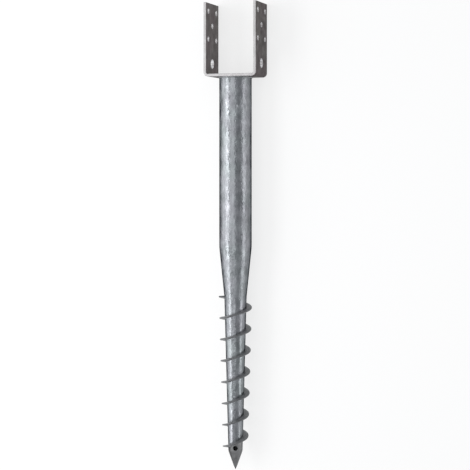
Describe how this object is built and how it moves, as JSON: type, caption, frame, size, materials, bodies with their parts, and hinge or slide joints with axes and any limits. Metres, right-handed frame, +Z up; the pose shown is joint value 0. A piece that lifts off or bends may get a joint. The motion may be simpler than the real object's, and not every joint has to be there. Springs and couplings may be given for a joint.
{
  "type": "ground screw with post fork",
  "caption": "Galvanised steel ground screw: tube swaged to a tapering shank with a helical flight and a point, and a U-shaped post fork welded on its head.",
  "frame": {"origin": "on the floor under the middle of the screw's length, with the screw lying on its side", "axes": "+X along the screw's axis from the point to the fork's open end, +Y across the post gap, +Z up"},
  "size_m": [0.865, 0.101, 0.07],
  "materials": {
    "zinc_tube": "hot-dip galvanised, smooth and slightly bright, with faint runs and spangle",
    "zinc_fork": "hot-dip galvanised, dull dark grey on the flat faces and brighter on the cut edges",
    "zinc_flight": "hot-dip galvanised, dull grey",
    "zinc_weld": "galvanised weld bead, rippled"
  },
  "bodies": {
    "root": {"ground_tube": "zinc_tube", "post_fork": "zinc_fork", "screw_flight": "zinc_flight", "fork_weld": "zinc_weld", "flight_weld": "zinc_weld"}
  },
  "joints": []
}
